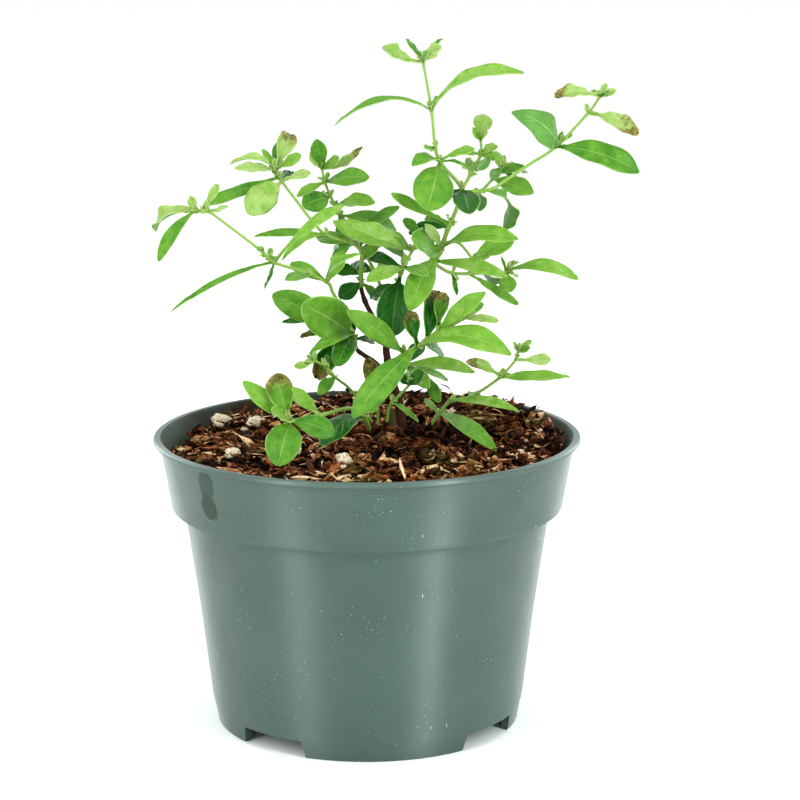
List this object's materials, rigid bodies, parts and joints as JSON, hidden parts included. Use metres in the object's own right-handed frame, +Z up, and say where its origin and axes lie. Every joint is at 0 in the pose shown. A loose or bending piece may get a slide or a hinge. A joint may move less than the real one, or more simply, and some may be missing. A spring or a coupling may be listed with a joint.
{
  "type": "potted mint plant",
  "caption": "Young mint plant with thin branching stems and smooth spoon-shaped leaves, standing in bark mix in a tapered plastic nursery pot with a raised collar and foot ring.",
  "frame": {"origin": "centre of the whole object's box on the ground the pot stands on; the plant leans to +X, so the pot's axis is about 10 mm towards -X", "axes": "+Z up; -Y is the side the picture shows; +X is the viewer's right"},
  "size_m": [0.1726, 0.1524, 0.2437],
  "materials": {
    "pot_plastic": "satin grey-green moulded polypropylene",
    "bark_mix": "damp shredded bark with fines and perlite",
    "woody_stem": "thin brown bark",
    "foliage": "fresh satin leaf"
  },
  "bodies": {
    "root": {"pot": "pot_plastic", "soil": "bark_mix", "woody_stem": "woody_stem", "leader": "foliage", "right_mid": "foliage", "back_right": "foliage", "right_back_spray": "foliage", "right_branch": "foliage", "centre": "foliage", "front_right": "foliage", "right_low": "foliage", "crown_right": "foliage", "crown_left": "foliage", "front_left_low": "foliage", "right_low_spray": "foliage", "left_low_thin": "foliage", "left_branch": "foliage", "upper_left": "foliage", "back_left": "foliage"}
  },
  "joints": []
}
